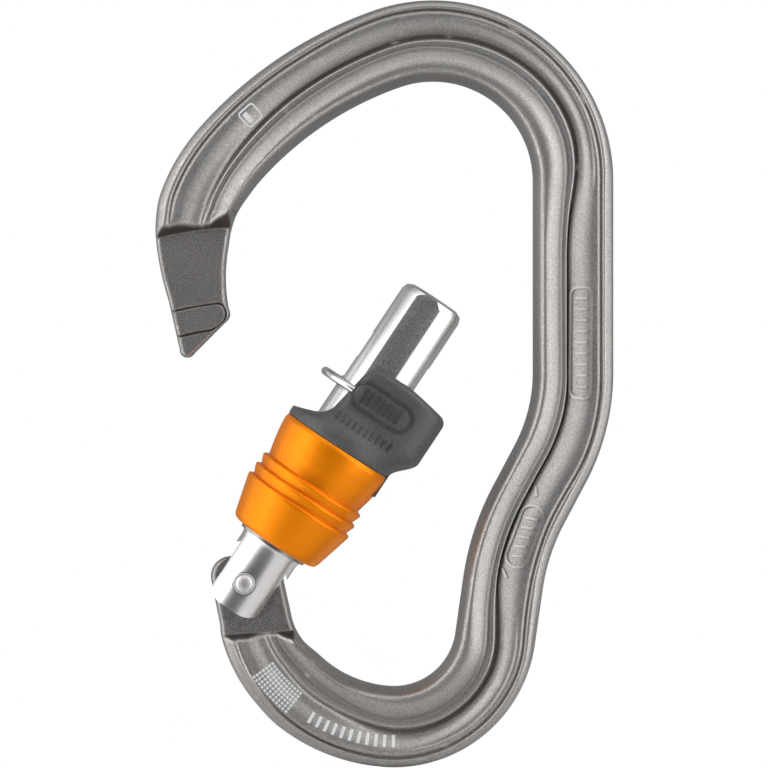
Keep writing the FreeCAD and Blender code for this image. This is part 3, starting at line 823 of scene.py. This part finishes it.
# the cap: a round rim that grows into a boxed thumb piece, with a plug and key that fit the sleeve
cap = {"rim": 9.9, "low": 27.4, "top": 42.0, "frontHalf": 7.9, "face": 12.9, "edgeRound": 1.3,
       "back": [(27.4, -9.9), (29.9, -4.6), (30.4, -4.4), (40.0, -2.8), (41.0, -2.3), (42.0, -1.6)],
       "squareness": (3.6, 6.5), "spread": {"right": (27.7, 32.2), "front": (28.6, 34.5), "left": (28.8, 29.6)},
       "sink": 0.12, "sinkFrom": 4.5, "sinkRise": (31.0, 42.0), "bore": 5.95, "plug": (7.4, 8.2, 24.6, 28.2),
       "recessTop": 27.9, "key": ((8.15, -2.45, 23.6), (9.86, 2.45, 28.0)),
       "keyway": ((0, -0.9, 27.4), (7.5, 0.9, 47))}


def capReach(angle, a):
    # how far the cap reaches from the gate's axis, at an angle round it and a height along it
    c, s = math.cos(angle), math.sin(angle)
    left = -np.interp(a, *zip(*cap["back"]))
    reach, square = (cap["face"], cap["squareness"][0]) if c > 0 else (left, cap["squareness"][1])
    boxed = ((abs(c) / reach) ** square + (abs(s) / cap["frontHalf"]) ** square) ** (-1 / square)
    spread, front = cap["spread"], s * s
    side = spread["right"] if c > 0 else spread["left"]
    start, end = (side[k] * (1 - front) + spread["front"][k] * front for k in (0, 1))
    share = softStep(a, start, end)
    return cap["rim"] * (1 - share) + boxed * share


def makeCap():
    around = 120
    bm = bmesh.new()
    bmesh.ops.create_circle(bm, segments=around, radius=1)
    rim = bm.edges[:]
    ring = list(bm.verts)
    r = cap["edgeRound"]
    # (height, how far the outline is drawn in) from the rim's lower edge to the rounded top edge
    heights = [(cap["low"], 0.35), (27.5, 0.12), (27.75, 0.0)]
    heights += [(a, 0.0) for a in (*np.arange(28.1, 30.6, 0.2), *np.arange(30.9, 40.6, 0.55))]
    heights += [(cap["top"] - r + r * math.sin(t), r * (1 - math.cos(t))) for t in np.linspace(0, math.pi / 2, 7)]
    for level, (a, inset) in enumerate(heights):
        if level:
            grown = bmesh.ops.extrude_edge_only(bm, edges=rim)["geom"]
            ring = vertsOf(grown)
            rim = [e for e in edgesOf(grown) if all(v in ring for v in e.verts)]
        for v in ring:
            angle = math.atan2(v.co.y, v.co.x)
            reach = capReach(angle, a) - inset
            x, y = reach * math.cos(angle), reach * math.sin(angle)
            sink = cap["sink"] * max(0.0, x - cap["sinkFrom"]) ** 1.15 * softStep(a, *cap["sinkRise"])
            v.co = (x, y, a - sink)
    fillHoles(bm)
    inner, outer, low, high = cap["plug"]
    plug = turned([(inner, low), (outer, low), (outer, high), (inner, high)], 0, 96)
    whole = combine(bm, rod(inner, (0, 0, 20), (0, 0, cap["recessTop"]), 96))
    whole = combine(whole, plug, "UNION")
    whole = combine(whole, block(*cap["key"]), "UNION")
    whole = combine(whole, rod(cap["bore"], (0, 0, 20), (0, 0, 60), 96))
    return combine(whole, block(*cap["keyway"]))


capPiece = finishPiece("sleeveCap", makeCap(), "sleeve", finishes["capPlastic"], nodes=["sleeve_cap"],
                       place=onGate(), sharpAngle=35)

# the wire latch: two straight legs joined by a half round bend
latch = {"thick": 0.7, "bend": 6.8, "centre": -1.8, "leg": 3.0, "at": 36.6}


def makeLatch():
    bm = bmesh.new()
    bmesh.ops.create_circle(bm, segments=20, radius=latch["thick"],
                            matrix=Matrix.Translation((latch["leg"], -latch["bend"], latch["at"]))
                            @ Matrix.Rotation(math.pi / 2, 4, "Y"))
    rim = bm.edges[:]
    for _ in range(2):
        grown = bmesh.ops.extrude_edge_only(bm, edges=rim)["geom"]
        rim = [e for e in edgesOf(grown) if e.is_boundary and all(v in grown for v in e.verts)]
        bmesh.ops.translate(bm, vec=((latch["centre"] - latch["leg"]) / 2, 0, 0),
                            verts=list({v for e in rim for v in e.verts}))
    turnedEnd = bmesh.ops.spin(bm, geom=rim + list({v for e in rim for v in e.verts}),
                               cent=(latch["centre"], 0, latch["at"]), axis=(0, 0, 1), angle=-math.pi, steps=40)
    grown = bmesh.ops.extrude_edge_only(bm, edges=edgesOf(turnedEnd["geom_last"]))["geom"]
    bmesh.ops.translate(bm, vec=(latch["leg"] - latch["centre"], 0, 0), verts=vertsOf(grown))
    closeUp(bm)
    fillHoles(bm)
    return bm


finishPiece("wireLatch", makeLatch(), "sleeve", finishes["brightWire"], nodes=["wire_latch"],
            place=onGate(), sharpAngle=40)


# generic raised and printed marks, laid on the piece they belong to
def ribbon(piece, points, width, above, below, closed=False):
    # a strip along points of (x, z), its top above and its underside below the surface of the piece
    points = np.array(points + points[:1] if closed else points, float)
    reach = lengths(points)
    points = along(points, reach, np.linspace(0, reach[-1], max(3, round(reach[-1] / marks["step"]))))
    ahead = np.gradient(points, axis=0)
    if closed:
        ahead[0] = ahead[-1] = points[1] - points[-2]
    ahead /= np.linalg.norm(ahead, axis=1)[:, None]
    across = np.stack([-ahead[:, 1], ahead[:, 0]], axis=-1) * width / 2
    bm = bmesh.new()
    bmesh.ops.create_grid(bm, x_segments=4, y_segments=len(points) - 1, size=0.5)
    for vert in bm.verts:
        row, place = round((vert.co.y + 0.5) * (len(points) - 1)), round((vert.co.x + 0.5) * 4) % 4
        x, z = points[row] + across[row] * (1 if place in (0, 3) else -1)
        hit, spot, _, _ = piece.ray_cast(Vector((x, -30, z)) * mm, Vector((0, 1, 0)))
        vert.co = (x, (spot.y / mm if hit else 0) + (-above if place < 2 else below), z)
    closeUp(bm)
    if not closed:
        fillHoles(bm)
    return bm


def boxLoop(low, high, corner, count=6):
    # a rectangle with rounded corners from (s, v) to (s, v)
    turns = np.linspace(0, math.pi / 2, count)
    middles = ((high[0] - corner, high[1] - corner), (low[0] + corner, high[1] - corner),
               (low[0] + corner, low[1] + corner), (high[0] - corner, low[1] + corner))
    return [(m[0] + corner * math.cos(t + k * math.pi / 2), m[1] + corner * math.sin(t + k * math.pi / 2))
            for k, m in enumerate(middles) for t in turns]


def stretch(first, second, count=4):
    return [tuple(p) for p in np.linspace(first, second, count)]


def onBar(points):
    # from length along the bar and distance from its outer side
    ends = [(side(s, 1), side(s, -1)) for s, _ in points]
    return [tuple(a + (b - a) * v / bar["width"]) for (a, b), (_, v) in zip(ends, points)]


def onCap(points):
    spots = [onGate() @ Vector((r, 0, a)) for r, a in points]
    return [(p.x, p.z) for p in spots]


marks = {"inkAbove": 0.04, "inkBelow": 0.1, "reliefAbove": 0.42, "capAbove": 0.2, "below": 0.3, "step": 0.22,
         "ladder": {"low": (54.4, 3.9), "high": (72.6, 7.3), "corner": 1.2, "inset": 0.75, "ribs": 9, "line": 0.4},
         "badge": {"low": (91.6, 3.7), "high": (102.6, 7.4), "corner": 1.8, "inset": 0.9, "lean": 0.5,
                   "ribs": (93.6, 95.3, 97.0, 98.7, 100.4), "line": 0.38},
         "ticks": {"at": (89.4, 104.0), "half": 0.7, "from": 7.4, "to": 6.5},
         "dashes": {"from": 139.6, "count": 11, "pitch": 1.32, "low": 3.7, "high": 5.6, "line": 0.55},
         "dots": {"from": 156.4, "rows": 12, "columns": 7, "pitch": 0.62, "low": 2.9, "size": 0.44},
         "panel": {"low": (-34.3, 3.5), "high": (-31.4, 6.3), "corner": 0.5, "line": 0.28, "fill": 0.9, "aside": 0.55},
         "cartouche": {"low": (-3.0, 34.6), "high": (8.2, 39.0), "corner": 2.15, "line": 0.42, "ribs": 7,
                       "rib": 0.45, "ends": (2.2, 2.6), "inset": 1.0},
         "capDashes": {"from": -2.8, "count": 10, "pitch": 1.12, "low": 31.2, "high": 32.6, "line": 0.42}}


def joined(parts):
    whole = bmesh.new()
    for part in parts:
        mesh = bpy.data.meshes.new("part")
        part.to_mesh(mesh)
        part.free()
        whole.from_mesh(mesh)
        bpy.data.meshes.remove(mesh)
    return whole


def reliefParts():
    ladder, badge, ticks = marks["ladder"], marks["badge"], marks["ticks"]
    height = marks["reliefAbove"], marks["below"]
    for mark in (ladder, badge):
        outline = boxLoop(mark["low"], mark["high"], mark["corner"])
        yield ribbon(framePiece, onBar(outline), mark["line"], *height, True)
    low, high, inset = ladder["low"], ladder["high"], ladder["inset"]
    for s in np.linspace(low[0], high[0], ladder["ribs"] + 2)[1:-1]:
        rib = stretch((s, low[1] + inset), (s, high[1] - inset))
        yield ribbon(framePiece, onBar(rib), ladder["line"], *height)
    low, high, inset = badge["low"], badge["high"], badge["inset"]
    for s in badge["ribs"]:
        rib = stretch((s, low[1] + inset), (s + badge["lean"], high[1] - inset))
        yield ribbon(framePiece, onBar(rib), badge["line"], *height)
    for s in ticks["at"]:
        tick = stretch((s - ticks["half"], ticks["from"]), (s + ticks["half"], ticks["to"]))
        yield ribbon(framePiece, onBar(tick), badge["line"], *height)


def inkParts():
    row, grid, panel = marks["dashes"], marks["dots"], marks["panel"]
    height = marks["inkAbove"], marks["inkBelow"]
    for k in range(row["count"]):
        s = row["from"] + k * row["pitch"]
        yield ribbon(framePiece, onBar(stretch((s, row["low"]), (s, row["high"]), 6)), row["line"], *height)
    for k in range(grid["rows"]):
        for n in range(grid["columns"]):
            s, v = grid["from"] + k * grid["pitch"], grid["low"] + n * grid["pitch"]
            yield ribbon(framePiece, onBar(stretch((s, v), (s, v + grid["size"]), 3)), grid["size"], *height)
    low, high, corner = panel["low"], panel["high"], panel["corner"]
    yield ribbon(framePiece, onBar(boxLoop(low, high, corner)), panel["line"], *height, True)
    s = (low[0] + high[0]) / 2 - panel["aside"]
    yield ribbon(framePiece, onBar(stretch((s, low[1] + corner), (s, high[1] - corner), 8)), panel["fill"], *height)


def capParts():
    ring, row = marks["cartouche"], marks["capDashes"]
    height = marks["capAbove"], marks["below"]
    low, high, inset = ring["low"], ring["high"], ring["inset"]
    yield ribbon(capPiece, onCap(boxLoop(low, high, ring["corner"], 10)), ring["line"], *height, True)
    for r in np.linspace(low[0] + ring["ends"][0], high[0] - ring["ends"][1], ring["ribs"]):
        yield ribbon(capPiece, onCap(stretch((r, low[1] + inset), (r, high[1] - inset))), ring["rib"], *height)
    for k in range(row["count"]):
        r = row["from"] + k * row["pitch"]
        yield ribbon(capPiece, onCap(stretch((r, row["low"]), (r, row["high"]))), row["line"], *height)


bpy.context.view_layer.update()
finishPiece("frameRelief", joined(reliefParts()), "body", finishes["satinAlloy"], sharpAngle=30)
finishPiece("framePrint", joined(inkParts()), "body", finishes["paleInk"], sharpAngle=30)
# the cap's raised marks carry painted shade
finishPiece("capRelief", joined(capParts()), "sleeve", finishes["capMark"], sharpAngle=30)

# the springs, each built in place between the two bodies it joins
springs = {
    "sleeveSpring": {"node": "sleeve_spring", "mean": 6.7, "wire": 0.45, "low": 19.3, "high": 27.9, "turns": 5.5,
                     "bodies": ("gate", "sleeve"), "up": True},
    "gateSpring": {"node": "gate_spring", "mean": 1.6, "wire": 0.25, "low": 13.0, "high": 30.0, "turns": 14,
                   "bodies": ("gate", "plunger"), "up": False},
}
stepsPerTurn = 28
for name, spring in springs.items():
    bm = bmesh.new()
    thick, steps = spring["wire"], round(spring["turns"] * stepsPerTurn)
    rise = (spring["high"] - spring["low"] - 2 * thick) / steps
    bmesh.ops.create_circle(bm, segments=10, radius=thick,
                            matrix=Matrix.Translation((spring["mean"], 0, spring["low"] + thick))
                            @ Matrix.Rotation(math.pi / 2, 4, "X"))
    bmesh.ops.spin(bm, geom=bm.verts[:] + bm.edges[:], cent=(0, 0, 0), axis=(0, 0, 1), dvec=(0, 0, rise),
                   angle=turn * spring["turns"], steps=steps)
    fillHoles(bm)
    low, high = (onGate() @ Vector((0, 0, spring[k])) * mm for k in ("low", "high"))
    start, end = (low, high) if spring["up"] else (high, low)
    finishPiece(name, bm, None, finishes["springSteel"], nodes=[spring["node"]], place=onGate(),
                blend=(*spring["bodies"], tuple(start), tuple(end)))

# turned and stamped parts that keep their own shape
kept = {"stop_ring": "darkSteel", "retaining_ring": "darkSteel", "spring_washer": "springSteel",
        "guide_pin": "brightWire", "gate_plunger": "springSteel"}
for node, look in kept.items():
    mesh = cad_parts[node].data
    mesh.materials.clear()
    mesh.materials.append(finishes[look])
print("carried over", ", ".join(kept))

# camera, light and floor
shot = {"x": -8.17, "z": -50.4, "tall": 128.0, "lens": 120.0, "sensor": 36.0, "clip": (0.01, 20)}
camera = bpy.data.objects.new("camera", bpy.data.cameras.new("camera"))
camera.data.lens, camera.data.sensor_width = shot["lens"], shot["sensor"]
camera.location = (shot["x"] * mm, -shot["tall"] * mm * shot["lens"] / shot["sensor"], shot["z"] * mm)
camera.rotation_euler = (math.pi / 2, 0, 0)
camera.data.clip_start, camera.data.clip_end = shot["clip"]
bpy.context.scene.collection.objects.link(camera)
bpy.context.scene.camera = camera
bpy.context.scene.view_settings.view_transform = "Standard"

lamps = {
    "left": {"from": (-0.42, -0.02, 0.02), "size": (0.45, 0.6), "power": 0.55},
    "right": {"from": (0.42, -0.06, 0.0), "size": (0.45, 0.6), "power": 0.55},
    "top": {"from": (0.0, 0.0, 0.5), "size": (0.4, 0.4), "power": 0.25},
}
target = Vector((-0.008, 0, -0.05))
ground = {"below": 0.0004, "size": 0.12, "pale": 0.85, "rough": 0.8}
bm = bmesh.new()
bmesh.ops.create_grid(bm, x_segments=1, y_segments=1, size=ground["size"] / 2,
                      matrix=Matrix.Translation((target.x, 0, cadBox[0][2] - ground["below"])))
floor = plainObject("floor", bm)
pale = bpy.data.materials.new("paleFloor")
pale.use_nodes = True
tree = pale.node_tree
shader = tree.nodes["Principled BSDF"]
shader.inputs["Base Color"].default_value = (ground["pale"], ground["pale"], ground["pale"], 1)
shader.inputs["Roughness"].default_value = ground["rough"]
glow, path, mix = (tree.nodes.new("ShaderNode" + n) for n in ("Emission", "LightPath", "MixShader"))
wire(tree, path.outputs["Is Camera Ray"], mix.inputs[0])
wire(tree, shader.outputs[0], mix.inputs[1])
wire(tree, glow.outputs[0], mix.inputs[2])
wire(tree, mix.outputs[0], tree.nodes["Material Output"].inputs["Surface"])
floor.data.materials.append(pale)
for name, lamp in lamps.items():
    data = bpy.data.lights.new(name, "AREA")
    data.shape, data.size, data.size_y, data.energy = "RECTANGLE", *lamp["size"], lamp["power"]
    made = bpy.data.objects.new(name, data)
    made.location = Vector(lamp["from"])
    made.rotation_euler = (target - made.location).to_track_quat("-Z", "Y").to_euler()
    made.visible_camera = False
    bpy.context.scene.collection.objects.link(made)

world = bpy.data.worlds.new("studio")
world.use_nodes = True
bpy.context.scene.world = world
tree = world.node_tree
tree.nodes.clear()
# a bright ring round the camera's line, softer above and dim below, by how far a direction leans back and up
ringBright = [(-1.0, 0.1), (-0.88, 0.13), (-0.75, 1.0), (-0.65, 2.3), (-0.48, 2.2), (-0.28, 1.1), (0.0, 0.75),
              (0.3, 0.5), (0.6, 0.3), (1.0, 0.3)]
heightBright = [(-1.0, 0.15), (-0.78, 0.25), (-0.5, 1.25), (0.0, 1.0), (0.55, 1.35), (0.8, 0.6), (1.0, 0.5)]
seen, fill = tree.nodes.new("ShaderNodeBackground"), tree.nodes.new("ShaderNodeBackground")
seen.inputs["Color"].default_value = (1, 1, 1, 1)
direction, parts = tree.nodes.new("ShaderNodeTexCoord"), tree.nodes.new("ShaderNodeSeparateXYZ")
wire(tree, direction.outputs["Generated"], parts.inputs[0])


def brightness(part, stops):
    # strength against one part of the direction, from -1 to 1
    curve = tree.nodes.new("ShaderNodeFloatCurve")
    wire(tree, spread(tree, parts.outputs[part], (-1.0, 1.0)).outputs["Result"], curve.inputs["Value"])
    points = curve.mapping.curves[0].points
    highest = max(value for _, value in stops)
    for k, (where, value) in enumerate(stops):
        spot = (where + 1) / 2, value / highest
        if 0 < k < len(stops) - 1:
            points.new(*spot)
        else:
            points[0 if k == 0 else len(points) - 1].location = spot
    for point in points:
        point.handle_type = "VECTOR"
    curve.mapping.update()
    return reckon(tree, "MULTIPLY", curve.outputs[0], highest)


strength = reckon(tree, "MULTIPLY", brightness("Y", ringBright), brightness("Z", heightBright))
wire(tree, strength, fill.inputs["Strength"])
path, mix, out = (tree.nodes.new("ShaderNode" + n) for n in ("LightPath", "MixShader", "OutputWorld"))
wire(tree, path.outputs["Is Camera Ray"], mix.inputs[0])
wire(tree, fill.outputs[0], mix.inputs[1])
wire(tree, seen.outputs[0], mix.inputs[2])
wire(tree, mix.outputs[0], out.inputs["Surface"])
